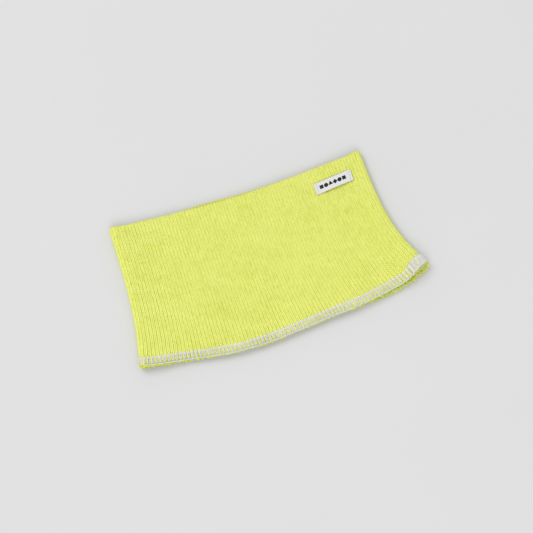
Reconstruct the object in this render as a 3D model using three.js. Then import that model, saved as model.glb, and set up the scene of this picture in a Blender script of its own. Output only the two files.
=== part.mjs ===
// A terry-lined knitted sweatband, lying flat on its back layer: one seamless knitted tube with a
// turned welt at its far edge (+Y) and an overlocked raw edge, the hem, at its near edge (-Y).
// Millimetres, +Z up. The tube's axis runs along Y, and its two folded sides face -X and +X.

import * as THREE from 'three';
import { ParametricGeometry } from 'three/addons/geometries/ParametricGeometry.js';
import { mergeVertices } from 'three/addons/utils/BufferGeometryUtils.js';

// Driving dimensions of the band as it lies
const weltWidth = 174;          // flat width across the welt
const hemWidth = 198;           // flat width across the hem, which flares
const flarePower = 3.3;         // how late the flare sets in on the way to the hem
const hemShift = 4.0;           // sideways lean of the hem against the welt
const midLength = 100;          // welt to hem along the middle
const weltSag = 5.4;            // how far the welt dips between its corners
const weltCurvePower = 1.7;     // how late the welt climbs towards its corners
const hemRise = 14.4;           // how far the hem's corners stand back from its middle
const hemCurvePower = 2.6;      // how late the hem curls back towards its corners
const hemTilt = 3.0;            // right corner of the hem further back, left corner nearer
const backSlip = 3;             // back layer's middle lies this much nearer the welt
const cornerDrop = 2.5;         // and its right hem corner this much nearer the front

// The wall, from the outer face inwards
const knitWall = 1.0;           // ground knit
const pileWall = 1.1;           // terry loops
const clearance = 0.3;          // between neighbouring pieces
const tightClearance = 0.25;    // where the seam and the welt squeeze the pieces together
const wall = knitWall + clearance + pileWall;
const innerGap = 4.4;           // clear height between the two layers
const flatHeight = 2 * wall + innerGap;

// The open corner of the mouth, at the hem's right end
const mouthLift = 2.6;
const mouthStartAcross = 0.62;  // share of the width where the lift starts
const mouthStartAlong = 0.6;    // share of the length where the lift starts

// The turned welt and the elastic threads in its channel
const weltDepth = 11;
const weltTurn = 1.1;           // knit closing the channel at the very edge
const weltRounding = 0.6;       // share of the turn over which the edge rounds off
const weltNose = 0.1;           // share of the turn where the rounding meets the blunt nose
const weltNoseRise = 0.25;      // share of the wall the rounding takes on each face
const elasticCount = 4;
const elasticDiameter = 0.45;
const elasticSides = 6;
const weltChannel = elasticDiameter + 2 * tightClearance;
const weltSkin = (wall - weltChannel) / 2;

// The three-thread overlock round the hem
const threadThickness = 0.4;
const overlockBite = 5;         // depth of the looper threads from the edge
const needleThreadWidth = 0.5;
const hemTaper = 0.9;           // length over which the fabric thins down to the seam

// The label, sewn on near the right end of the welt
const labelLength = 26;
const labelWidth = 8;
const tapeThickness = 0.35;
const labelFoldUnder = 4;       // length of each end that is folded under
const labelFromSide = 24.2;     // label centre to the welt's right side
const labelFromWelt = 13.6;     // label centre to the welt edge above it
const labelTurn = THREE.MathUtils.degToRad(6);
const stitchThickness = 0.4;
const stitchFromEnd = 1.6;
const stitchMargin = 0.6;       // tape left free at each end of a stitch row

// Steps of the faceted surfaces
const sheetSteps = 16;          // across each flat layer
const foldSteps = 6;            // round each folded side
const lengthSteps = 7;          // from welt to hem
const girthSteps = 2 * (sheetSteps + foldSteps);

const NEON_KNIT = 0xe1e774;
const NEON_PILE = 0xdde45f;
const OFF_WHITE = 0xebebe4;
const ELASTIC_WHITE = 0xd8d8d2;

const { lerp, smoothstep } = THREE.MathUtils;

// A station on the loop round the band: `across` goes 0..1 from the left fold to the right one,
// `turn` is 0 on the upper layer, PI on the lower layer and in between round a fold.
function girthStation(step) {
  if (step <= sheetSteps) return { across: step / sheetSteps, turn: 0 };
  const pastRight = step - sheetSteps;
  if (pastRight <= foldSteps) return { across: 1, turn: Math.PI * pastRight / foldSteps };
  const alongBack = pastRight - foldSteps;
  if (alongBack <= sheetSteps) return { across: 1 - alongBack / sheetSteps, turn: Math.PI };
  return { across: 0, turn: Math.PI * (1 + (alongBack - sheetSteps) / foldSteps) };
}

function height(across, along) {
  const liftAcross = smoothstep(across, mouthStartAcross, 1);
  const liftAlong = smoothstep(along, mouthStartAlong, 1);
  return flatHeight + mouthLift * liftAcross * liftAlong;
}

function weltEdgeY(offCentre) {
  return weltSag * Math.abs(offCentre) ** weltCurvePower;
}

function hemEdgeY(offCentre) {
  return hemRise * Math.abs(offCentre) ** hemCurvePower + hemTilt * offCentre - midLength;
}

// A point of the band's wall. `share` is the share of the way from welt to hem, `shift` a further
// distance towards the hem, and `depth` the distance inwards from the outer face.
function wallPoint({ across, turn }, { share, shift, depth }) {
  const along = share + shift / midLength;
  const flare = Math.max(along, 0) ** flarePower;
  const halfWidth = lerp(weltWidth, hemWidth, flare) / 2;
  const tall = height(across, along);
  const leftFold = height(0, along) / 2 - halfWidth;
  const rightFold = halfWidth - height(1, along) / 2;
  const radius = tall / 2 - depth;
  const x = lerp(leftFold, rightFold, across) + radius * Math.sin(turn);
  const offCentre = x / halfWidth;
  const back = (1 - Math.cos(turn)) / 2;
  const drop = cornerDrop * smoothstep(across, mouthStartAcross, 1) * Math.max(along, 0) ** 2;
  const backShift = back * (backSlip * (1 - offCentre ** 2) - drop);
  const y = lerp(weltEdgeY(offCentre), hemEdgeY(offCentre), share) - shift + backShift;
  return new THREE.Vector3(x + hemShift * flare, y, tall / 2 + radius * Math.cos(turn));
}

const fromWelt = (shift, depth) => ({ share: 0, shift, depth });
const fromHem = (inset, depth) => ({ share: 1, shift: -inset, depth });

// Section points down the length of the band between the welt and the seam, at one depth
function alongBody(depth) {
  const points = [];
  const first = (weltDepth + clearance) / midLength;
  const last = 1 - seamStart / midLength;
  for (let i = 1; i < lengthSteps; i++) {
    points.push({ share: lerp(first, last, i / lengthSteps), shift: 0, depth });
  }
  return points;
}

// A closed ring: a section polygon, listed down its outer side and back up its inner side,
// carried once round the band
function ring(name, section, color, roughness) {
  const point = (u, v, target) => {
    const corner = section[Math.round(u * section.length) % section.length];
    const step = Math.round(v * girthSteps) % girthSteps;
    target.copy(wallPoint(girthStation(step), corner));
  };
  const surface = new ParametricGeometry(point, section.length, girthSteps);
  return closedMesh(name, surface, color, roughness);
}

function closedMesh(name, surface, color, roughness) {
  surface.deleteAttribute('normal');
  surface.deleteAttribute('uv');
  const geometry = mergeVertices(surface);
  geometry.computeVertexNormals();
  const material = new THREE.MeshStandardMaterial({ color, roughness, metalness: 0 });
  const mesh = new THREE.Mesh(geometry, material);
  mesh.name = name;
  return mesh;
}

// Insets from the hem: the seam squeezes the fabric between the looper threads as far as
// `seamFull`, and the fabric is back to its full thickness at `seamStart`
const seamFull = overlockBite + 2 * clearance + needleThreadWidth;
const seamStart = seamFull + hemTaper;
const fabricEnd = threadThickness + clearance;

// Depths that neighbouring pieces share
const pileOuter = knitWall + clearance;
const facingOuter = wall - weltSkin;
const seamKnitOuter = threadThickness + clearance;
const seamPileInner = wall - threadThickness - clearance;
const seamFabric = seamPileInner - seamKnitOuter - tightClearance;
const seamKnitInner = seamKnitOuter + seamFabric * knitWall / (knitWall + pileWall);
const seamPileOuter = seamKnitInner + tightClearance;

// The ground knit. At the welt it turns inwards and comes back as a facing, and the channel
// between the two stays open at its lower end.
function knitTube() {
  const section = [
    fromWelt(weltTurn * weltRounding, 0),
    fromWelt(weltDepth, 0),
    ...alongBody(0),
    fromHem(seamStart, 0),
    fromHem(seamFull, seamKnitOuter),
    fromHem(fabricEnd, seamKnitOuter),
    fromHem(fabricEnd, seamKnitInner),
    fromHem(seamFull, seamKnitInner),
    fromHem(seamStart, knitWall),
    ...alongBody(knitWall).reverse(),
    fromWelt(weltDepth + clearance, knitWall),
    fromWelt(weltDepth - clearance, weltSkin),
    fromWelt(weltTurn, weltSkin),
    fromWelt(weltTurn, facingOuter),
    fromWelt(weltDepth, facingOuter),
    fromWelt(weltDepth, wall),
    fromWelt(weltTurn * weltRounding, wall),
    fromWelt(weltTurn * weltNose, wall * (1 - weltNoseRise)),
    fromWelt(0, wall / 2),
    fromWelt(weltTurn * weltNose, wall * weltNoseRise),
  ];
  return ring('knit_tube', section, NEON_KNIT, 0.95);
}

// The layer of terry loops that lines the tube from the welt down to the hem
function terryPile() {
  const section = [
    fromWelt(weltDepth + clearance, pileOuter),
    ...alongBody(pileOuter),
    fromHem(seamStart, pileOuter),
    fromHem(seamFull, seamPileOuter),
    fromHem(fabricEnd, seamPileOuter),
    fromHem(fabricEnd, seamPileInner),
    fromHem(seamFull, seamPileInner),
    fromHem(seamStart, wall),
    ...alongBody(wall).reverse(),
    fromWelt(weltDepth + clearance, wall),
  ];
  return ring('terry_pile', section, NEON_PILE, 1.0);
}

// One elastic thread laid round the band in the welt's channel
function weltElastic(index) {
  const room = weltDepth - weltTurn;
  const shift = weltTurn + room * (index + 0.5) / elasticCount;
  const depth = wall / 2;
  const section = [];
  for (let i = 0; i < elasticSides; i++) {
    const angle = 2 * Math.PI * (i + 0.5) / elasticSides;
    const down = elasticDiameter / 2 * Math.cos(angle);
    const out = elasticDiameter / 2 * Math.sin(angle);
    section.push(fromWelt(shift + down, depth + out));
  }
  return ring(`welt_elastic_${index + 1}`, section, ELASTIC_WHITE, 0.8);
}

// The looper threads cover the two faces of the raw edge and meet at the middle of its thickness
function overlockUpperLooper() {
  const meeting = (wall - clearance) / 2;
  const section = [
    fromHem(0, 0),
    fromHem(0, meeting),
    fromHem(threadThickness, meeting),
    fromHem(threadThickness, threadThickness),
    fromHem(overlockBite, threadThickness),
    fromHem(overlockBite, 0),
  ];
  return ring('overlock_upper_looper', section, OFF_WHITE, 0.75);
}

function overlockLowerLooper() {
  const meeting = (wall + clearance) / 2;
  const section = [
    fromHem(0, meeting),
    fromHem(0, wall),
    fromHem(overlockBite, wall),
    fromHem(overlockBite, wall - threadThickness),
    fromHem(threadThickness, wall - threadThickness),
    fromHem(threadThickness, meeting),
  ];
  return ring('overlock_lower_looper', section, OFF_WHITE, 0.75);
}

// The needle thread runs along the inner side of the seam
function overlockNeedleThread() {
  const near = overlockBite + clearance;
  const far = near + needleThreadWidth;
  const section = [
    fromHem(near, 0),
    fromHem(near, threadThickness),
    fromHem(far, threadThickness),
    fromHem(far, 0),
  ];
  return ring('overlock_needle_thread', section, OFF_WHITE, 0.75);
}

function extrudedAcross(name, outline, width, color, roughness) {
  const solid = new THREE.ExtrudeGeometry(outline, { depth: width, bevelEnabled: false, steps: 1 });
  solid.translate(0, 0, -width / 2);
  solid.rotateX(Math.PI / 2);
  return closedMesh(name, solid, color, roughness);
}

// The tape, with both ends folded under: its outline along its length, extruded over its width
function labelTape() {
  const end = labelLength / 2;
  const pad = end - labelFoldUnder;
  const outline = new THREE.Shape();
  outline.moveTo(-end, 0);
  outline.lineTo(-pad, 0);
  outline.lineTo(-pad, tapeThickness);
  outline.lineTo(pad, tapeThickness);
  outline.lineTo(pad, 0);
  outline.lineTo(end, 0);
  outline.lineTo(end, 2 * tapeThickness);
  outline.lineTo(-end, 2 * tapeThickness);
  outline.closePath();
  return extrudedAcross('label_tape', outline, labelWidth, OFF_WHITE, 0.7);
}

// One row of hand stitches over an end of the tape
function labelStitch(name, side) {
  const middle = side * (labelLength / 2 - stitchFromEnd);
  const bottom = 2 * tapeThickness + clearance;
  const half = stitchThickness / 2;
  const outline = new THREE.Shape();
  outline.moveTo(middle - half, bottom);
  outline.lineTo(middle + half, bottom);
  outline.lineTo(middle + half, bottom + stitchThickness);
  outline.lineTo(middle - half, bottom + stitchThickness);
  outline.closePath();
  return extrudedAcross(name, outline, labelWidth - 2 * stitchMargin, OFF_WHITE, 0.75);
}

function label() {
  const x = weltWidth / 2 - labelFromSide;
  const y = weltEdgeY(2 * x / weltWidth) - labelFromWelt;
  const group = new THREE.Group();
  group.add(labelTape());
  group.add(labelStitch('label_stitch_left', -1));
  group.add(labelStitch('label_stitch_right', 1));
  group.position.set(x, y, flatHeight + clearance);
  group.rotation.z = labelTurn;
  return group;
}

function sweatband() {
  const band = new THREE.Group();
  band.add(knitTube());
  band.add(terryPile());
  for (let index = 0; index < elasticCount; index++) band.add(weltElastic(index));
  band.add(overlockUpperLooper());
  band.add(overlockLowerLooper());
  band.add(overlockNeedleThread());
  band.add(label());
  return band;
}

// The origin is under the middle of the band, on the surface that it lies on
function standOnOrigin(part) {
  const box = new THREE.Box3().setFromObject(part, true);
  const middle = box.getCenter(new THREE.Vector3());
  part.position.set(-middle.x, -middle.y, -box.min.z);
  const whole = new THREE.Group();
  whole.add(part);
  return whole;
}

const whole = standOnOrigin(sweatband());

export default whole;
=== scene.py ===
"""Looks of a terry-lined knitted sweatband that lies flat: yarn loops, terry pile, overlock, label."""

import math

import bpy
import numpy as np
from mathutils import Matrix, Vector


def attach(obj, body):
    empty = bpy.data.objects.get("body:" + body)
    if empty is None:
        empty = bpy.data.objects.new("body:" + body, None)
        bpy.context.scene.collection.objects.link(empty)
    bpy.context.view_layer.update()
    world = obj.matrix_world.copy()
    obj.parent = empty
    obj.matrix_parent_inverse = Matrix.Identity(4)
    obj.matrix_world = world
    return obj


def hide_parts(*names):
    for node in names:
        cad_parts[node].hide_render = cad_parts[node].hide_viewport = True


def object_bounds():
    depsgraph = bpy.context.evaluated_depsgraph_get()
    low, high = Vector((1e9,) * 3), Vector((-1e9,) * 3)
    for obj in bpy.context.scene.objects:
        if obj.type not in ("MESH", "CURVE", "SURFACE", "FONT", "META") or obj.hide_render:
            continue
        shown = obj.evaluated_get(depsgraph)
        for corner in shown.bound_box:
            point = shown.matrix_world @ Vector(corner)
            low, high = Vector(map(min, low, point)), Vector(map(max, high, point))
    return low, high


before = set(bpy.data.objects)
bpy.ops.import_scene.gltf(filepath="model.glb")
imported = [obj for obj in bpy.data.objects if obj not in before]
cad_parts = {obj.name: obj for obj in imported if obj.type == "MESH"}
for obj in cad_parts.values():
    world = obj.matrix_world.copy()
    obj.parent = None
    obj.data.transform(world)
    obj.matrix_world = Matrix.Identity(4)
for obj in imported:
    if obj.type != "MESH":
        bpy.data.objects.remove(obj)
cad_box = [[float(v) for v in corner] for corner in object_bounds()]
rng = np.random.default_rng(7)

# The band's driving sizes in millimetres, as the CAD model has them
WELT_WIDTH, HEM_WIDTH, MID_LENGTH = 174, 198, 100
FLARE_POWER, HEM_SHIFT = 3.3, 4
WELT_SAG, WELT_CURVE = 5.4, 1.7
HEM_RISE, HEM_CURVE, HEM_TILT = 14.4, 2.6, 3
BACK_SLIP, CORNER_DROP = 3, 2.5
WALL, INNER_GAP = 2.4, 4.4
FLAT_HEIGHT = 2 * WALL + INNER_GAP
FACE_LENGTH = MID_LENGTH - WALL / 2
WELT_TURN, ELASTIC_COUNT, ELASTIC_DIAMETER = 1.1, 4, 0.45
MOUTH_ACROSS, MOUTH_ALONG = 0.62, 0.6
WELT_DEPTH = 11
BITE = 4.7

# How the soft band settles: heights at the folds, between them, and the lift of the open corner
FOLD_REST, WELT_REST, HEM_REST, MOUTH_REST = 7.8, 6.3, 5.8, 2.0
FOLD_SHARE = 0.12
RUMPLES = ((0.16, 9.1, 3.7, 0), (0.14, 17, -8.3, 1), (0.10, 29, 13, 2))  # height, across, along, phase
SETTLE_SLIDE, BACK_CREEP = 0.72, 0.5
HEM_WAVE, WAVE_START, HEM_SLIDE = 0.9, 0.05, 0.45
RIGHT_CURL, RIGHT_CURL_SPAN = 2.6, (0.905, 1.01)
LEFT_CURL, LEFT_CURL_SPAN = 0.2, (0.9, 0.98)
BACK_CURL_LOSS = 0.45
WELT_PEEK, PEEK_CENTRE, PEEK_SPREAD = 1.0, 0.25, 0.2
WELT_BUMP, LEFT_BUMP_SHARE, BUMP_CENTRE, BUMP_SPREAD = 1.0, 0.9, 0.96, 0.06

# The knit: yarn loops in wales along the tube and courses round it
WALES, COURSES, FACING_COURSES = 168, 59, 8
YARN_RADIUS, YARN_FLATNESS, YARN_FILL = 0.49, 0.76, 0.12
LOOP_SWING, LOOP_GATHER, LOOP_REACH, LOOP_DEPTH = 0.20, 0.05, 1.28, 0.3
LOOP_STEPS, YARN_SIDES = 12, 6
KNIT_BANDS = 9
COURSE_MARGIN, YARN_STOP = 0.7, 0.35
GROUND_DEPTH, GROUND_THICKNESS, GROUND_UNDERLAP = 0.76, 0.14, 2.4
SHEET_STOP = 0.8

# The terry lining: its footing's two faces, and the loops that stand on it near the hem
FOOTING_OUTER, FOOTING_INNER, NUB_HEIGHT = 1.25, 1.75, 0.16
FOOTING_START = WELT_DEPTH + 0.4
LOOP_ROWS, LOOP_ZONE, LOOP_ROW_PITCH = 14, 24.0, 1.66
LOOP_FOOT, LOOP_TOP, LOOP_STOP = 1.55, 2.55, 0.9
PILE_RADIUS, CORNER_RADIUS, PILE_SIDES = 0.30e-3, 0.32e-3, 5
HEM_BITS, CORNER_TUFTS = 640, 26
HEM_GIRTH = 400  # turns millimetres along the hem into shares of the way round
BACK_HALF = 0.47

# The overlock round the hem
SEAM_STITCHES = 160
STITCH_PITCH = 2.42
THREAD_RADIUS, THREAD_PUFF, PUFF_SPAN = 0.34, 0.28, (1.4, 3.2)
PLY_OFFSET, PLY_RADIUS, PLY_SIDES = 0.52, 0.56, 6
SEAM_SINK, SINK_FADE = 0.32, 2.5
NEEDLE_LINE = 4.1
EDGE_RADIUS, EDGE_PLIES, EDGE_TURN = 0.34e-3, 2, 2.2
LAP_TEETH, LAP_PITCH, LAP_REACH, LAP_END = 11, 1.3, 1.15, 0.484

# The label, its stitches and its mark
LABEL_LENGTH, LABEL_WIDTH, TAPE, FOLD_UNDER = 26, 7.8, 0.22, 4
LABEL_FROM_SIDE, LABEL_FROM_WELT, LABEL_TURN, LABEL_SKEW = 24.2, 13.6, math.radians(4.8), 0.1
TAPE_LIFT = 0.05
TAPE_TOP = 3 * TAPE + TAPE_LIFT
STITCHES_PER_END, STITCH_FROM_END, STITCH_MARGIN = 4, 1.6, 0.7
LABEL_THREAD_RADIUS, STITCH_DIP, STITCH_HOP = 0.17e-3, 0.2, 0.3
MARK_SIZE, MARK_PITCH, MARK_RISE, MARK_MIDDLE = 2.9, 3.2, 0.1, -0.5
MARK_SHAPES = ("square", "disc", "triangle", "diamond", "disc", "square")
MARK_SINK, MARK_FACE = -0.02, 0.035
RIM_POINTS = 48

# Yarn shading: noise scales per metre, and how much each adds to the colour's drift
FIBRE_SCALE, PATCH_SCALE, FLECK_SCALE = 5200, 75, 760
PATCH_SHARE, FLECK_SHARE, FLECK_STRETCH = 0.2, 0.5, (1, 0.38, 1)
RAMP_LOW, RAMP_HIGH = 0.25, 0.6
BUMP_DEPTH = 0.00012

# The stage
FLOOR = 0.00002
FLOOR_HALF = 3.0
FLOOR_DARK, FLOOR_PALE = (0.610, 0.610, 0.614, 1), (0.634, 0.634, 0.639, 1)
WORLD_COLOUR, WORLD_STRENGTH = (1, 1, 1.01, 1), 0.65
CAMERA_AZIMUTH, CAMERA_ELEVATION, CAMERA_DISTANCE = math.radians(-18.5), math.radians(72), 0.9145
CAMERA_TARGET, LENS, SENSOR = (-0.0008, -0.0022, 0), 95, 36


def smooth(x, low, high):
    t = np.clip((x - low) / (high - low), 0, 1)
    return t * t * (3 - 2 * t)


def mix(a, b, t):
    return a + (b - a) * t


def height(across, along):
    """Thickness of the lying band, which settles lower than the CAD model, most between its folds."""
    lift = MOUTH_REST * smooth(across, MOUTH_ACROSS, 1) * smooth(along, MOUTH_ALONG, 1)
    rumple = sum(size * np.sin(a * across + b * along + start) for size, a, b, start in RUMPLES)
    rest = mix(WELT_REST, HEM_REST, smooth(along, 0.1, 1)) - rumple
    inside = smooth(across, 0, FOLD_SHARE) * smooth(1 - across, 0, FOLD_SHARE)
    return mix(FOLD_REST + lift, rest, inside)


def wall_place(across, turn, share, shift, depth):
    """A point of the settled wall in millimetres; arrays broadcast. share runs from the welt to the hem,
    shift moves the point on along the tube, and depth is how far in from the outer face it lies."""
    along = share + shift / MID_LENGTH
    flare = np.maximum(along, 0) ** FLARE_POWER
    half = mix(WELT_WIDTH, HEM_WIDTH, flare) / 2
    tall = height(across, along)
    left = height(0, along) / 2 - half
    right = half - height(1, along) / 2
    radius = tall / 2 - depth
    x = mix(left, right, across) + radius * np.sin(turn)
    off = np.abs(x / half)
    welt = WELT_SAG * off**WELT_CURVE
    hem = HEM_RISE * off**HEM_CURVE + HEM_TILT * x / half - MID_LENGTH
    curl = RIGHT_CURL * smooth(across, *RIGHT_CURL_SPAN)
    curl = curl + LEFT_CURL * smooth(1 - across, *LEFT_CURL_SPAN)
    hem = hem + HEM_WAVE * np.sin(2 * math.pi * (x / half - WAVE_START)) + HEM_SLIDE
    back = (1 - np.cos(turn)) / 2
    hem = hem + curl * (1 - BACK_CURL_LOSS * back)
    drop = CORNER_DROP * smooth(across, MOUTH_ACROSS, 1) * np.maximum(along, 0) ** 2
    y = mix(welt, hem, share) - shift + back * (BACK_SLIP * (1 - off**2) - drop)
    y = y + (1 - back) * SETTLE_SLIDE * np.maximum(FOLD_REST - tall, 0)
    y = y + back * BACK_CREEP * np.maximum(along, 0) ** 2
    peek = back * WELT_PEEK * np.exp(-(((x / half + PEEK_CENTRE) / PEEK_SPREAD) ** 2))
    corner = np.exp(-(((off - BUMP_CENTRE) / BUMP_SPREAD) ** 2))
    bump = WELT_BUMP * np.where(x > 0, 1, LEFT_BUMP_SHARE) * corner
    y = y + (1 - share) * (peek + bump)
    return np.stack([x + HEM_SHIFT * flare, y, tall / 2 + radius * np.cos(turn)], -1)


def station(q, along):
    """Turns q, the share of the way round the band, into a place across a layer and round a fold."""
    left, right = height(0, along) / 2, height(1, along) / 2
    flare = np.maximum(along, 0) ** FLARE_POWER
    flat = mix(WELT_WIDTH, HEM_WIDTH, flare) - left - right
    way = np.mod(q, 1) * (2 * flat + math.pi * (left + right))
    past_right = way - flat - math.pi * right
    past_back = past_right - flat
    zones = [way < flat, past_right < 0, past_back < 0]
    across = np.select(zones, [way / flat, 1 + 0 * way, 1 - past_right / flat], 0)
    turns = [0 * way, (way - flat) / right, math.pi + 0 * way]
    turn = np.select(zones, turns, math.pi + past_back / left)
    return across, turn


def centre_of_outline():
    """The CAD model's origin lies under the middle of its outline, taken before anything settles."""
    place_on_hem = np.linspace(-1, 1, 401)
    low = (HEM_RISE * np.abs(place_on_hem) ** HEM_CURVE + HEM_TILT * place_on_hem).min() - MID_LENGTH
    (x0, y0, _), (x1, y1, _) = cad_box
    return np.array([(x0 + x1) * 500 - HEM_SHIFT, (y0 + y1) * 500 - (low + WELT_SAG) / 2, 0])


ORIGIN = centre_of_outline()


def place(q, share, shift, depth):
    """A point of the wall in metres in the shared frame; q is the share of the way round."""
    q, share, shift, depth = np.broadcast_arrays(q, share, shift, depth)
    across, turn = station(q, share + shift / MID_LENGTH)
    return (wall_place(across, turn, share, shift, depth) + ORIGIN) / 1000


def on_knit(q, s, n):
    """A point of the knit in metres. s is millimetres from the turned edge along the outer face, and
    negative round the turn and down the facing; n is millimetres in from the knit's own face."""
    q, s, n = np.broadcast_arrays(q, s, n)
    middle = WALL / 2
    angle = np.clip(-s / middle, 0, math.pi)
    inside = np.clip(-s - math.pi * middle, 0, None)
    radius = middle - n
    inset = FACE_LENGTH - s
    sink = SEAM_SINK * (1 - smooth(inset, BITE, BITE + SINK_FADE))
    outer = s >= 0
    share = np.where(outer, s / FACE_LENGTH, 0)
    shift = np.where(outer, middle * (1 - share), middle - radius * np.sin(angle) + inside)
    depth = np.where(outer, n + sink, middle - radius * np.cos(angle))
    return place(q, share, shift, depth)


def on_hem(q, inset, depth):
    """A point by the hem in metres: inset millimetres from the raw edge, depth in from the face."""
    return place(q, 1.0, -np.asarray(inset, float), depth)


# Meshes from arrays


def unit(v):
    return v / np.maximum(np.linalg.norm(v, axis=-1, keepdims=True), 1e-12)


def rings_round(path, outward, radius, sides, closed, flatness=1.0):
    """Rings of a strand: path and outward are (strands, points, 3), and flatness presses it inwards."""
    ahead = np.roll(path, -1, 1) - np.roll(path, 1, 1)
    if not closed:
        ahead[:, 0] = path[:, 1] - path[:, 0]
        ahead[:, -1] = path[:, -1] - path[:, -2]
    ahead = unit(ahead)
    side = unit(np.cross(ahead, outward))
    up = np.cross(side, ahead) * flatness
    angle = 2 * math.pi * np.arange(sides) / sides
    spoke = np.cos(angle)[:, None] * side[:, :, None] + np.sin(angle)[:, None] * up[:, :, None]
    radius = np.broadcast_to(np.asarray(radius, float), path.shape[:2])
    return path[:, :, None] + radius[:, :, None, None] * spoke


def bake_cells(faces, sides):
    """A place of its own for each face in the square 0..1, rows of faces that follow each other."""
    steps = faces // sides
    columns = max(1, math.ceil(math.sqrt(steps * sides)))
    blocks = math.ceil(steps / columns)
    step, side = np.divmod(np.arange(faces), sides)
    u = (step % columns) / columns
    v = ((step // columns) * sides + side) / (blocks * sides)
    cell = np.array([[0, 0], [0, 1], [1, 1], [1, 0]]) / [columns, blocks * sides]
    return np.stack([u, v], -1)[:, None] + cell


def strand_mesh(name, rings, closed):
    """One object from rings (strands, points, sides, 3), with capped ends where it isn't closed."""
    strands, points, sides, _ = rings.shape
    index = np.arange(strands * points * sides).reshape(strands, points, sides)
    after = np.roll(index, -1, 1)
    a, b = (index, after) if closed else (index[:, :-1], after[:, :-1])
    quads = np.stack([a, np.roll(a, -1, 2), np.roll(b, -1, 2), b], -1).reshape(-1, 4)
    steps = a.shape[1]
    along = np.linalg.norm(np.diff(rings.mean(2), axis=1), axis=-1) * 1000
    reach = np.concatenate([np.zeros((strands, 1)), np.cumsum(along, 1)], 1)
    if closed:
        reach = np.concatenate([reach, reach[:, -1:] + along[:, -1:]], 1)
    u0, u1 = reach[:, :steps, None], reach[:, 1 : steps + 1, None]
    v0 = np.broadcast_to(np.arange(sides) / sides, a.shape)
    v1 = v0 + 1 / sides
    u0, u1 = np.broadcast_to(u0, a.shape), np.broadcast_to(u1, a.shape)
    yarn = np.stack([u0, v0, u0, v1, u1, v1, u1, v0], -1).reshape(-1, 4, 2)
    bake = bake_cells(len(quads), sides)
    corners, uv, cells = quads.reshape(-1), yarn.reshape(-1, 2), bake.reshape(-1, 2)
    starts = np.arange(len(quads)) * 4
    if not closed:
        caps = np.concatenate([index[:, 0, ::-1], index[:, -1]])
        starts = np.concatenate([starts, len(corners) + np.arange(len(caps)) * sides])
        corners = np.concatenate([corners, caps.reshape(-1)])
        rim = 0.5 + 0.5 * np.stack([np.cos(np.arange(sides)), np.sin(np.arange(sides))], -1)
        uv = np.concatenate([uv, np.tile(rim, (len(caps), 1))])
        small = np.repeat(cells[:: max(1, len(cells) // len(caps))][: len(caps)], sides, 0)
        cells = np.concatenate([cells, small + 1e-4 * np.tile(rim, (len(caps), 1))])
    return mesh_object(name, rings.reshape(-1, 3), corners, starts, {"yarn": uv, "OFBake": cells})


def mesh_object(name, points, corners, starts, maps=None):
    points = np.maximum(points, [-np.inf, -np.inf, FLOOR])
    me = bpy.data.meshes.new(name)
    me.vertices.add(len(points))
    me.vertices.foreach_set("co", np.ascontiguousarray(points, np.float32).reshape(-1))
    me.loops.add(len(corners))
    me.loops.foreach_set("vertex_index", np.ascontiguousarray(corners, np.int32))
    me.polygons.add(len(starts))
    me.polygons.foreach_set("loop_start", np.ascontiguousarray(starts, np.int32))
    me.polygons.foreach_set("use_smooth", np.ones(len(starts), bool))
    for key, uv in (maps or {}).items():
        layer = me.uv_layers.new(name=key)
        layer.data.foreach_set("uv", np.ascontiguousarray(uv, np.float32).reshape(-1))
    me.update(calc_edges=True)
    me.validate()
    piece = bpy.data.objects.new(name, me)
    bpy.context.scene.collection.objects.link(piece)
    return piece


def grid_mesh(name, grid, wrap_rows, wrap_columns):
    """One object from a grid of points (rows, columns, 3) that may close on itself either way."""
    rows, columns, _ = grid.shape
    index = np.arange(rows * columns).reshape(rows, columns)
    i, j = np.roll(index, -1, 0), np.roll(index, -1, 1)
    both = np.roll(i, -1, 1)
    quads = np.stack([index, j, both, i], -1)
    quads = quads[: None if wrap_rows else -1, : None if wrap_columns else -1]
    r, c = np.meshgrid(np.arange(quads.shape[0]), np.arange(quads.shape[1]), indexing="ij")
    cell = np.array([[0, 0], [0, 1], [1, 1], [1, 0]])
    uv = (np.stack([r, c], -1)[:, :, None] + cell) / [quads.shape[0], quads.shape[1]]
    corners = quads.reshape(-1)
    return mesh_object(name, grid.reshape(-1, 3), corners, np.arange(len(corners) // 4) * 4,
                       {"yarn": uv.reshape(-1, 2), "OFBake": uv.reshape(-1, 2)})


# Materials


def linear(r, g, b):
    """A colour given as it looks on a screen, 0..255, as the shader wants it."""
    c = np.array([r, g, b]) / 255
    return (*np.where(c <= 0.04045, c / 12.92, ((c + 0.055) / 1.055) ** 2.4).tolist(), 1.0)


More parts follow.
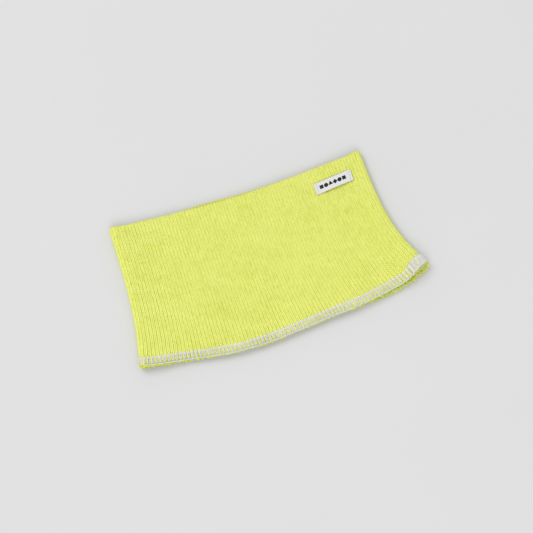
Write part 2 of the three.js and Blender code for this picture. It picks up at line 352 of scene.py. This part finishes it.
def yarn_material(name, low, high, roughness, sheen, ply_turns, plies, bump, painted_shade_share=0.0):
    """Spun yarn: twisted plies along its length, loose fibres, colour that drifts over the cloth, and
    painted shade round each strand, lighter on its outward side and darker on its inward side.
    """
    mat = bpy.data.materials.new(name)
    mat.use_nodes = True
    nodes, links = mat.node_tree.nodes, mat.node_tree.links
    shader = nodes["Principled BSDF"]
    shader.inputs["Roughness"].default_value = roughness
    shader.inputs["Sheen Weight"].default_value = sheen
    shader.inputs["Sheen Roughness"].default_value = 0.5
    shader.inputs["Sheen Tint"].default_value = high
    shader.inputs["Specular IOR Level"].default_value = 0.25
    uv = nodes.new("ShaderNodeUVMap")
    uv.uv_map = "yarn"
    split = nodes.new("ShaderNodeSeparateXYZ")
    links.new(uv.outputs[0], split.inputs[0])
    turns = math_node(nodes, links, "MULTIPLY", split.outputs[0], ply_turns)
    round_it = math_node(nodes, links, "MULTIPLY", split.outputs[1], plies)
    phase = math_node(nodes, links, "ADD", turns, round_it)
    ply = math_node(nodes, links, "SINE", math_node(nodes, links, "MULTIPLY", phase, 2 * math.pi))
    place_in = nodes.new("ShaderNodeTexCoord").outputs["Object"]
    fibre = noise_node(nodes, links, place_in, FIBRE_SCALE, 3)
    patch = noise_node(nodes, links, place_in, PATCH_SCALE, 3)
    stretch = nodes.new("ShaderNodeVectorMath")
    stretch.operation = "MULTIPLY"
    stretch.inputs[1].default_value = FLECK_STRETCH
    links.new(place_in, stretch.inputs[0])
    fleck = noise_node(nodes, links, stretch.outputs[0], FLECK_SCALE, 2)
    # Painted shade: a sine round each strand, and round the closed ground sheet, lightens its outward
    # side and darkens its inward side.
    around = math_node(nodes, links, "MULTIPLY", split.outputs[1], 2 * math.pi)
    painted_round_shade = math_node(nodes, links, "SINE", around)
    drift = math_node(nodes, links, "ADD", math_node(nodes, links, "MULTIPLY", patch, PATCH_SHARE),
                      math_node(nodes, links, "MULTIPLY", fleck, FLECK_SHARE))
    drift = math_node(nodes, links, "ADD", drift, math_node(nodes, links, "MULTIPLY", painted_round_shade, painted_shade_share))
    ramp = nodes.new("ShaderNodeValToRGB")
    ramp.color_ramp.elements[0].position, ramp.color_ramp.elements[0].color = RAMP_LOW, low
    ramp.color_ramp.elements[1].position, ramp.color_ramp.elements[1].color = RAMP_HIGH, high
    links.new(drift, ramp.inputs[0])
    links.new(ramp.outputs[0], shader.inputs["Base Color"])
    relief = math_node(nodes, links, "ADD", math_node(nodes, links, "MULTIPLY", ply, 0.5), fibre)
    bumps = nodes.new("ShaderNodeBump")
    bumps.inputs["Strength"].default_value = bump
    bumps.inputs["Distance"].default_value = BUMP_DEPTH
    links.new(relief, bumps.inputs["Height"])
    links.new(bumps.outputs[0], shader.inputs["Normal"])
    return mat


def math_node(nodes, links, operation, a, b=None):
    node = nodes.new("ShaderNodeMath")
    node.operation = operation
    for socket, value in zip(node.inputs, (a, b)):
        if isinstance(value, (int, float)):
            socket.default_value = value
        elif value is not None:
            links.new(value, socket)
    return node.outputs[0]


def noise_node(nodes, links, vector, scale, detail):
    node = nodes.new("ShaderNodeTexNoise")
    node.inputs["Scale"].default_value = scale
    node.inputs["Detail"].default_value = detail
    links.new(vector, node.inputs["Vector"])
    return node.outputs["Fac"]


def dress(piece, material, slot, *replaced):
    piece.data.materials.append(material)
    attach(piece, "root")
    if replaced:
        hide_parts(*replaced)
    return piece


NEON_LOW, NEON_HIGH = linear(196, 207, 51), linear(227, 231, 125)
# The knit's yarn carries painted shade round each strand, at a share of 0.26.
knit_yarn = yarn_material("neon_yarn", NEON_LOW, NEON_HIGH, 0.85, 0.3, 0.55, 2, 0.7, 0.26)
PILE_LOW, PILE_HIGH = linear(216, 228, 66), linear(238, 243, 120)
pile_yarn = yarn_material("neon_pile_yarn", PILE_LOW, PILE_HIGH, 0.9, 0.35, 0.7, 2, 0.7)
THREAD_LOW, THREAD_HIGH = linear(216, 215, 210), linear(236, 235, 230)
white_thread = yarn_material("white_thread", THREAD_LOW, THREAD_HIGH, 0.7, 0.2, 1.6, 3, 0.5)


# The knit


def loop_path(first, count):
    """Part of the one yarn that spirals round the band, as stitches from first on."""
    t = np.arange(count * LOOP_STEPS + 1) / LOOP_STEPS
    at = first + t
    pitch = (FACE_LENGTH - COURSE_MARGIN) / COURSES
    q = (at + LOOP_SWING * np.sin(4 * math.pi * t) + LOOP_GATHER * np.sin(2 * math.pi * t)) / WALES
    s = at / WALES * pitch - LOOP_REACH * np.cos(2 * math.pi * t)
    n = YARN_RADIUS * YARN_FLATNESS + LOOP_DEPTH * (1 + np.cos(4 * math.pi * t))
    stitch = np.floor(at).astype(int) - first
    uneven = rng.normal(0, 1, (4, count + 1))[:, stitch]
    s = np.minimum(s + 0.06 * uneven[0] * np.sin(math.pi * (t % 1)), FACE_LENGTH - YARN_STOP)
    n = n + 0.05 * uneven[1] * np.sin(math.pi * (t % 1)) ** 2
    q = q + 0.04 * uneven[2] * np.sin(math.pi * (t % 1)) ** 2 / WALES
    radius = YARN_RADIUS * (1 + 0.05 * np.sin(0.37 * at) + 0.04 * uneven[3] * np.sin(math.pi * (t % 1)))
    radius = radius * (1 + YARN_FILL * np.clip(s / FACE_LENGTH, 0, 1) ** 3)
    path = on_knit(q, s, n)
    outward = on_knit(q, s, n - 0.2) - path
    return path[None], outward[None], radius[None] / 1000


def knit_faces():
    """The whole yarn in bands of courses, from the facing's end to the hem."""
    pieces = []
    bounds = np.linspace(-FACING_COURSES, COURSES, KNIT_BANDS + 1)
    for k, (low, high) in enumerate(zip(bounds[:-1], bounds[1:])):
        first, last = round(low * WALES), round(high * WALES)
        path, outward, radius = loop_path(first, last - first)
        rings = rings_round(path, outward, radius, YARN_SIDES, False, YARN_FLATNESS)
        piece = strand_mesh(f"knit_yarn_{k + 1}", rings, closed=False)
        pieces.append(dress(piece, knit_yarn, "neon_knit"))
    return pieces


def ground_sheet():
    """The cloth behind the loops: a thin closed sheet from the facing's end over the turn to the hem."""
    facing = np.linspace(-WELT_DEPTH - GROUND_UNDERLAP, -0.001, 28)
    s = np.concatenate([facing, np.linspace(0, FACE_LENGTH - SHEET_STOP, 76)])
    q = np.arange(4 * WALES)[:, None] / (4 * WALES)
    n = np.full_like(s, GROUND_DEPTH)
    around = np.concatenate([s, s[::-1]])
    depth = np.concatenate([n, n + GROUND_THICKNESS])
    sheet = grid_mesh("ground_knit", on_knit(q, around[None], depth[None]), True, True)
    return dress(sheet, knit_yarn, "neon_knit", "knit_tube")


# The terry lining


def lining():
    """The pile's footing, closed like the ground sheet, with a nub at each stitch."""
    s = np.linspace(FOOTING_START, FACE_LENGTH - SHEET_STOP, 110)
    q = np.arange(4 * WALES)[:, None] / (4 * WALES)
    row = np.sin(math.pi * np.arange(len(s)) / 1.5)[None]
    nub = NUB_HEIGHT * np.sin(2 * math.pi * q * 2 * WALES) * row
    outer = np.full((len(q), len(s)), FOOTING_OUTER)
    inner = FOOTING_INNER + nub
    depth = np.concatenate([outer, inner[:, ::-1]], 1)
    around = np.concatenate([s, s[::-1]])
    grid = on_knit(q, around[None], depth)
    return dress(grid_mesh("terry_footing", grid, True, True), pile_yarn, "neon_pile", "terry_pile")


def terry_loops(name, rows, first_s, pitch):
    """Loops that stand in from the lining, a row to a course, each leaning its own way."""
    count = rows * WALES
    row, wale = np.divmod(np.arange(count), WALES)
    lean = rng.normal(0, 1, (5, count))
    t = np.linspace(0, 1, 9)
    spread = 0.42 * (1 + 0.2 * lean[0])[:, None]
    rise = (0.78 + 0.12 * lean[1])[:, None]
    q = (wale[:, None] + 0.5 + 0.12 * lean[2][:, None] + spread * -np.cos(math.pi * t)) / WALES
    s = first_s + (row[:, None] + 0.15 * lean[3][:, None]) * pitch
    s = s + 0.55 * lean[4][:, None] * np.sin(math.pi * t)
    s = np.minimum(s, FACE_LENGTH - LOOP_STOP)
    n = np.minimum(LOOP_FOOT + rise * np.sin(math.pi * t) ** 0.8, LOOP_TOP)
    path = on_knit(q, s, n)
    outward = on_knit(q, s + 0.5, n) - path
    radius = PILE_RADIUS * (0.8 + 0.25 * np.sin(math.pi * t))[None]
    rings = rings_round(path, outward, radius, PILE_SIDES, False)
    return dress(strand_mesh(name, rings, False), pile_yarn, "neon_pile")


def hem_bits():
    """Pile loops that the overlock leaves poking out past the raw edge, further on the back layer."""
    count = HEM_BITS
    q = rng.uniform(0, 1, count)
    size = rng.uniform(0.65, 1.15, count)
    out = rng.uniform(0.4, 1.9, count) * (0.62 + 0.38 * (q > BACK_HALF))
    depth = rng.uniform(1.3, 2.1, count)
    skew = rng.normal(0, 0.5, count)
    t = np.linspace(0, 1, 9)
    sweep = np.sin(math.pi * t)
    turn_q = q[:, None] + (size[:, None] * -np.cos(math.pi * t) * 0.6 + skew[:, None] * sweep) / HEM_GIRTH
    inset = 0.6 - (out[:, None] + 0.6) * sweep
    path = on_hem(turn_q, inset, depth[:, None] + 0.25 * skew[:, None] * sweep)
    outward = on_hem(turn_q, inset, depth[:, None] - 0.3) - path
    rings = rings_round(path, outward, PILE_RADIUS * size[:, None] * np.ones_like(t), PILE_SIDES, False)
    return dress(strand_mesh("hem_loops", rings, False), pile_yarn, "neon_pile")


# The overlock


def plied(name, path, outward, radius, closed, plies=3, turn_mm=1.5):
    """A thread of twisted plies along path."""
    ahead = np.roll(path, -1, 1) - np.roll(path, 1, 1)
    if not closed:
        ahead[:, 0], ahead[:, -1] = ahead[:, 1], ahead[:, -2]
    side = unit(np.cross(ahead, outward))
    up = unit(np.cross(side, ahead))
    radius = np.broadcast_to(radius, path.shape[:2])
    length = np.cumsum(np.linalg.norm(path - np.roll(path, 1, 1), axis=-1), 1) * 1000
    total = length[:, -1:]
    turns = np.round(total / turn_mm) if closed else total / turn_mm
    angle = 2 * math.pi * turns * length / total
    strands, ups = [], []
    for ply in range(plies):
        a = (angle + 2 * math.pi * ply / plies)[..., None]
        strands.append(path + PLY_OFFSET * radius[..., None] * (np.cos(a) * side + np.sin(a) * up))
        ups.append(outward)
    ply_radius = np.repeat(radius, plies, 0) * PLY_RADIUS
    rings = rings_round(np.concatenate(strands), np.concatenate(ups), ply_radius, PLY_SIDES, closed)
    return strand_mesh(name, rings, closed)


def stitched(keys, count, steps=20):
    """Repeats one stitch's key points (along, inset, depth) round the hem and rounds their corners."""
    keys = np.array(keys, float)
    stitch = np.arange(count)[:, None]
    along = (stitch + keys[None, :, 0]).reshape(-1)
    inset = np.tile(keys[:, 1], count)
    depth = np.tile(keys[:, 2], count)
    jitter = rng.normal(0, 0.05, (2, len(along)))
    along, inset = along + 0.5 * jitter[0], inset + 1.6 * jitter[1]
    fine = np.linspace(0, len(along), count * steps, endpoint=False)
    return [periodic(v, fine, wrap) for v, wrap in ((along, count), (inset, 0), (depth, 0))]


def periodic(values, at, wrap):
    """Catmull-Rom through values that repeat, each round adding wrap."""
    size = len(values)
    k = np.floor(at).astype(int)
    t = at - k
    p = [values[(k + d) % size] + wrap * ((k + d) // size) for d in (-1, 0, 1, 2)]
    a, b = 2 * p[1], p[2] - p[0]
    c, d = 2 * p[0] - 5 * p[1] + 4 * p[2] - p[3], -p[0] + 3 * p[1] - 3 * p[2] + p[3]
    return 0.5 * (a + b * t + c * t**2 + d * t**3)


HALF_TOOTH = [(0.16, BITE - 0.1, 0.27), (0.21, 3.9, 0.20), (0.20, 2.9, 0.18), (0.12, 1.8, 0.20),
              (0.12, 0.7, 0.32), (0.32, 0.0, 0.66)]
UPPER_STITCH = [(0.0, BITE + 0.15, 0.32), *HALF_TOOTH, (0.5, -0.15, 0.95),
                *[(1 - along, inset, depth) for along, inset, depth in reversed(HALF_TOOTH)]]


def corner_tufts():
    """Pile loops that stick out round the two folds at the hem."""
    count = CORNER_TUFTS
    left = np.arange(count) % 2 == 0
    q = np.where(left, rng.uniform(-0.016, 0.004, count), rng.uniform(0.485, 0.515, count))
    size = rng.uniform(0.6, 1.0, count)[:, None]
    t = np.linspace(0, 1, 11)
    sweep = np.sin(math.pi * t)
    skew = rng.normal(0, 1, (3, count))[:, :, None]
    turn_q = q[:, None] + (0.5 * size * -np.cos(math.pi * t) + 0.3 * skew[0] * sweep) / HEM_GIRTH
    inset = 0.5 - (1.3 + 0.5 * skew[1]) * size * sweep
    depth = 1.3 - (1.6 + 0.4 * skew[2]) * size * sweep
    path = on_hem(turn_q, inset, depth)
    outward = on_hem(turn_q, inset - 0.4, depth) - path
    rings = rings_round(path, outward, CORNER_RADIUS * size * np.ones_like(t), PILE_SIDES, False)
    return dress(strand_mesh("corner_loops", rings, False), pile_yarn, "neon_pile")


def thread_radius(inset):
    """The textured thread puffs out where it lies loose, away from the raw edge; in metres."""
    return THREAD_RADIUS * (1 + THREAD_PUFF * smooth(inset, *PUFF_SPAN)) / 1000


def overlock_thread(name, keys, node):
    along, inset, depth = stitched(keys, SEAM_STITCHES)
    q = along / SEAM_STITCHES
    path = on_hem(q, inset, depth)[None]
    outward = on_hem(q, inset, depth - 0.3)[None] - path
    piece = plied(name, path, outward, thread_radius(inset), True)
    return dress(piece, white_thread, "white_thread", node)


def overlock():
    upper = overlock_thread("upper_looper_thread", UPPER_STITCH, "overlock_upper_looper")
    inner = [(along + 0.5, inset, WALL - depth) for along, inset, depth in UPPER_STITCH]
    lower = overlock_thread("lower_looper_thread", inner, "overlock_lower_looper")
    needle_keys = [(0.0, NEEDLE_LINE, 0.30), (0.2, NEEDLE_LINE, 0.72),
                   (0.5, NEEDLE_LINE + 0.1, 0.95), (0.8, NEEDLE_LINE, 0.72)]
    needle = overlock_thread("needle_thread", needle_keys, "overlock_needle_thread")
    edge_keys = [(0.0, -0.28, 0.62), (0.5, -0.32, 0.72)]
    along, inset, depth = stitched(edge_keys, SEAM_STITCHES, steps=8)
    q = along / SEAM_STITCHES
    path = on_hem(q, inset, depth)[None]
    outward = on_hem(q, inset, depth - 0.3)[None] - path
    edge = plied("edge_chain_thread", path, outward, EDGE_RADIUS, True, EDGE_PLIES, EDGE_TURN)
    dress(edge, white_thread, "white_thread")
    return [upper, lower, needle, edge, lap(), corner_tufts()]


def lap():
    """Where the seam's end runs over its start: a second, closer and longer row of teeth."""
    keys = [(along, inset * LAP_REACH if inset > 0.5 else inset - 0.1, depth - 0.16)
            for along, inset, depth in UPPER_STITCH]
    along, inset, depth = stitched(keys, LAP_TEETH)
    keep = slice(0, -len(along) // LAP_TEETH)
    q = LAP_END + (along[keep] - LAP_TEETH) * LAP_PITCH / (SEAM_STITCHES * STITCH_PITCH)
    path = on_hem(q, inset[keep], depth[keep])[None]
    outward = on_hem(q, inset[keep], depth[keep] - 0.3)[None] - path
    piece = plied("seam_lap_thread", path, outward, THREAD_RADIUS / 1000, False)
    return dress(piece, white_thread, "white_thread")


knit_pieces = knit_faces()
ground = ground_sheet()
footing = lining()
hem_pile = terry_loops("terry_loops", LOOP_ROWS, FACE_LENGTH - LOOP_ZONE, LOOP_ROW_PITCH)
bits = hem_bits()
seam = overlock()


# The label


def label_rest(x, y):
    """Height in metres of the settled knit's face under a point of the label. The point's place
    across the layer is read on the CAD model's flat height, which is close enough under a label."""
    half = WELT_WIDTH / 2
    across = (x * 1000 - ORIGIN[0] + half - FLAT_HEIGHT / 2) / (2 * half - FLAT_HEIGHT)
    along = (ORIGIN[1] + WELT_SAG * 0.55 - y * 1000) / MID_LENGTH
    return height(across, along) / 1000


def on_label(a, b, lift):
    """A point of the label: a along it and b across it in millimetres, lift above the knit."""
    a = a + LABEL_SKEW * b
    x0 = WELT_WIDTH / 2 - LABEL_FROM_SIDE
    y0 = WELT_SAG * (x0 / (WELT_WIDTH / 2)) ** WELT_CURVE - LABEL_FROM_WELT
    x = (x0 + a * math.cos(LABEL_TURN) - b * math.sin(LABEL_TURN) + ORIGIN[0]) / 1000
    y = (y0 + a * math.sin(LABEL_TURN) + b * math.cos(LABEL_TURN) + ORIGIN[1]) / 1000
    return np.stack([x, y, label_rest(x, y) + lift / 1000], -1)


def label_bow(a, b):
    """How far the tape stands off the knit: sewn down at its ends, and free along its near edge."""
    free = np.cos(np.clip(a / (LABEL_LENGTH / 2 - 2), -1, 1) * math.pi / 2)
    near = 0.5 - b / LABEL_WIDTH
    return free * (0.25 + 0.75 * near**1.5 * (1 + 0.5 * a / LABEL_LENGTH))


def label_tape():
    end, radius = LABEL_LENGTH / 2, TAPE
    run = np.linspace(-end + radius, end - radius, 70)
    bend = np.linspace(-math.pi / 2, math.pi / 2, 7)[1:-1]
    under = np.linspace(0, FOLD_UNDER, 10)
    a = np.concatenate([-end + radius + under[::-1], -end + radius - radius * np.cos(bend), run,
                        end - radius + radius * np.cos(bend[::-1]), end - radius - under])
    z = np.concatenate([0 * under, radius + radius * np.sin(bend), 2 * radius + 0 * run,
                        radius + radius * np.sin(bend[::-1]), 0 * under])
    ahead = unit(np.stack([np.gradient(a), np.gradient(z)], -1))
    off = np.stack([-ahead[:, 1], ahead[:, 0]], -1) * TAPE / 2
    b = np.linspace(-LABEL_WIDTH / 2, LABEL_WIDTH / 2, 25)
    loop_a, loop_z, loop_b = [], [], []
    for sign, span in ((1, b), (-1, b[::-1])):
        loop_a.append(np.broadcast_to((a + sign * off[:, 0])[:, None], (len(a), len(b))))
        loop_z.append(np.broadcast_to((z + sign * off[:, 1])[:, None], (len(a), len(b))))
        loop_b.append(np.broadcast_to(span, (len(a), len(b))))
    a, z, b = (np.concatenate(v, 1) for v in (loop_a, loop_z, loop_b))
    grid = on_label(a, b, z + TAPE / 2 + TAPE_LIFT + label_bow(a, b))
    return grid_mesh("label_tape_woven", grid, False, True)


def label_stitches(name, a, node):
    """A row of stitches over one end of the tape, each dipping through it."""
    b = np.linspace(-LABEL_WIDTH / 2 + STITCH_MARGIN, LABEL_WIDTH / 2 - STITCH_MARGIN, 61)
    hop = np.abs(np.sin(math.pi * (b - b[0]) / (b[-1] - b[0]) * STITCHES_PER_END))
    lift = TAPE_TOP + label_bow(a, b) - STITCH_DIP + STITCH_HOP * hop**0.6
    path = on_label(a + 0.05 * np.sin(9 * b), b, lift)[None]
    outward = np.broadcast_to([0.0, 0.0, 1.0], path.shape)
    rings = rings_round(path, outward, LABEL_THREAD_RADIUS, 8, False)
    return dress(strand_mesh(name, rings, False), stitch_thread, "white_thread", node)


def mark(index, a, shape):
    """One filled shape woven into the tape."""
    angle = 2 * math.pi * np.arange(RIM_POINTS) / RIM_POINTS
    turned = {"disc": (np.cos(angle), np.sin(angle)), "square": polygon(4, math.pi / 4, 1.25),
              "diamond": polygon(4, 0, 1.15), "triangle": polygon(3, math.pi / 2, 1.3)}[shape]
    a_rim, b_rim = a + MARK_SIZE / 2 * turned[0], MARK_RISE + MARK_SIZE / 2 * turned[1]
    rings = []
    for lift, share in ((MARK_SINK, 0.0), (MARK_SINK, 1.0), (MARK_FACE, 1.0), (MARK_FACE, 0.5),
                        (MARK_FACE, 0.0)):
        aa, bb = mix(a, a_rim, share), mix(MARK_RISE, b_rim, share)
        rings.append(on_label(aa, bb, TAPE_TOP + label_bow(aa, bb) + lift))
    piece = grid_mesh(f"woven_mark_{index}", np.stack(rings), False, True)
    return dress(piece, mark_black, "label_white")


def polygon(sides, start, reach):
    """The rim of a regular polygon, as evenly sampled points."""
    t = np.arange(RIM_POINTS) / RIM_POINTS * sides
    corner, share = np.floor(t), t % 1
    at = [start + 2 * math.pi * (corner + k) / sides for k in (0, 1)]
    return tuple(reach * mix(f(at[0]), f(at[1]), share) for f in (np.cos, np.sin))


TAPE_LOW, TAPE_HIGH = linear(209, 209, 207), linear(218, 218, 216)
tape_white = yarn_material("label_weave", TAPE_LOW, TAPE_HIGH, 0.55, 0.1, 110, 50, 0.25)
MARK_LOW, MARK_HIGH = linear(20, 20, 22), linear(38, 38, 40)
mark_black = yarn_material("mark_black_weave", MARK_LOW, MARK_HIGH, 0.6, 0.1, 40, 12, 0.25)
STITCH_LOW, STITCH_HIGH = linear(176, 176, 180), linear(205, 205, 208)
stitch_thread = yarn_material("label_stitch_thread", STITCH_LOW, STITCH_HIGH, 0.7, 0.1, 3, 2, 0.4)
dress(label_tape(), tape_white, "label_white", "label_tape")
label_stitches("label_thread_left", -LABEL_LENGTH / 2 + STITCH_FROM_END, "label_stitch_left")
label_stitches("label_thread_right", LABEL_LENGTH / 2 - STITCH_FROM_END, "label_stitch_right")
for index, shape in enumerate(MARK_SHAPES):
    mark(index + 1, MARK_MIDDLE + (index - 2.5) * MARK_PITCH, shape)


# The elastic threads in the welt

ELASTIC_LOW, ELASTIC_HIGH = linear(205, 205, 198), linear(225, 225, 218)
elastic = yarn_material("covered_elastic", ELASTIC_LOW, ELASTIC_HIGH, 0.6, 0.1, 3, 2, 0.4)


def elastic_thread(index):
    """One covered hoop laid in the middle of the welt's channel."""
    s = WELT_TURN + (WELT_DEPTH - WELT_TURN) * (index + 0.5) / ELASTIC_COUNT - WALL / 2
    q = np.arange(4 * WALES) / (4 * WALES)
    path = on_knit(q, s, WALL / 2)[None]
    outward = on_knit(q, s, WALL / 2 - 0.3)[None] - path
    rings = rings_round(path, outward, ELASTIC_DIAMETER / 2000, 8, True)
    name = f"elastic_thread_{index + 1}"
    return dress(strand_mesh(name, rings, True), elastic, "elastic", f"welt_elastic_{index + 1}")


for index in range(ELASTIC_COUNT):
    elastic_thread(index)


# Floor, light and camera


def floor_material():
    mat = bpy.data.materials.new("pale_floor")
    mat.use_nodes = True
    nodes, links = mat.node_tree.nodes, mat.node_tree.links
    shader = nodes["Principled BSDF"]
    shader.inputs["Roughness"].default_value = 0.9
    shader.inputs["Specular IOR Level"].default_value = 0.1
    cloud = noise_node(nodes, links, nodes.new("ShaderNodeTexCoord").outputs["Object"], 6, 2)
    ramp = nodes.new("ShaderNodeValToRGB")
    ramp.color_ramp.elements[0].color = FLOOR_DARK
    ramp.color_ramp.elements[1].color = FLOOR_PALE
    links.new(cloud, ramp.inputs[0])
    links.new(ramp.outputs[0], shader.inputs["Base Color"])
    return mat


def stage():
    points = FLOOR_HALF * np.array([[-1, -1, 0], [1, -1, 0], [1, 1, 0], [-1, 1, 0]])
    floor = mesh_object("floor", points, np.arange(4), np.array([0]))
    floor.location.z = -FLOOR
    floor.data.materials.append(floor_material())


def lamp(name, place_at, target, size, power):
    light = bpy.data.lights.new(name, "AREA")
    light.shape, light.size, light.energy = "DISK", size, power
    piece = bpy.data.objects.new(name, light)
    piece.location = place_at
    piece.rotation_euler = (Vector(target) - Vector(place_at)).to_track_quat("-Z", "Y").to_euler()
    bpy.context.scene.collection.objects.link(piece)


def lights():
    lamp("key", (-2.2, 2.5, 5.0), (0, 0, 0), 4.2, 139)
    lamp("fill", (-1.2, -3.4, 4.6), (0, 0, 0), 4.5, 132)
    world = bpy.data.worlds.new("studio")
    world.use_nodes = True
    world.node_tree.nodes["Background"].inputs["Color"].default_value = WORLD_COLOUR
    world.node_tree.nodes["Background"].inputs["Strength"].default_value = WORLD_STRENGTH
    bpy.context.scene.world = world


def camera():
    target = Vector(CAMERA_TARGET)
    level = math.cos(CAMERA_ELEVATION)
    away = Vector((math.sin(CAMERA_AZIMUTH) * level, -math.cos(CAMERA_AZIMUTH) * level,
                   math.sin(CAMERA_ELEVATION)))
    data = bpy.data.cameras.new("camera")
    data.lens, data.sensor_width = LENS, SENSOR
    piece = bpy.data.objects.new("camera", data)
    piece.location = target + CAMERA_DISTANCE * away
    piece.rotation_euler = (-away).to_track_quat("-Z", "Y").to_euler()
    bpy.context.scene.collection.objects.link(piece)
    bpy.context.scene.camera = piece


stage()
lights()
camera()
bpy.context.scene.view_settings.view_transform = "Standard"
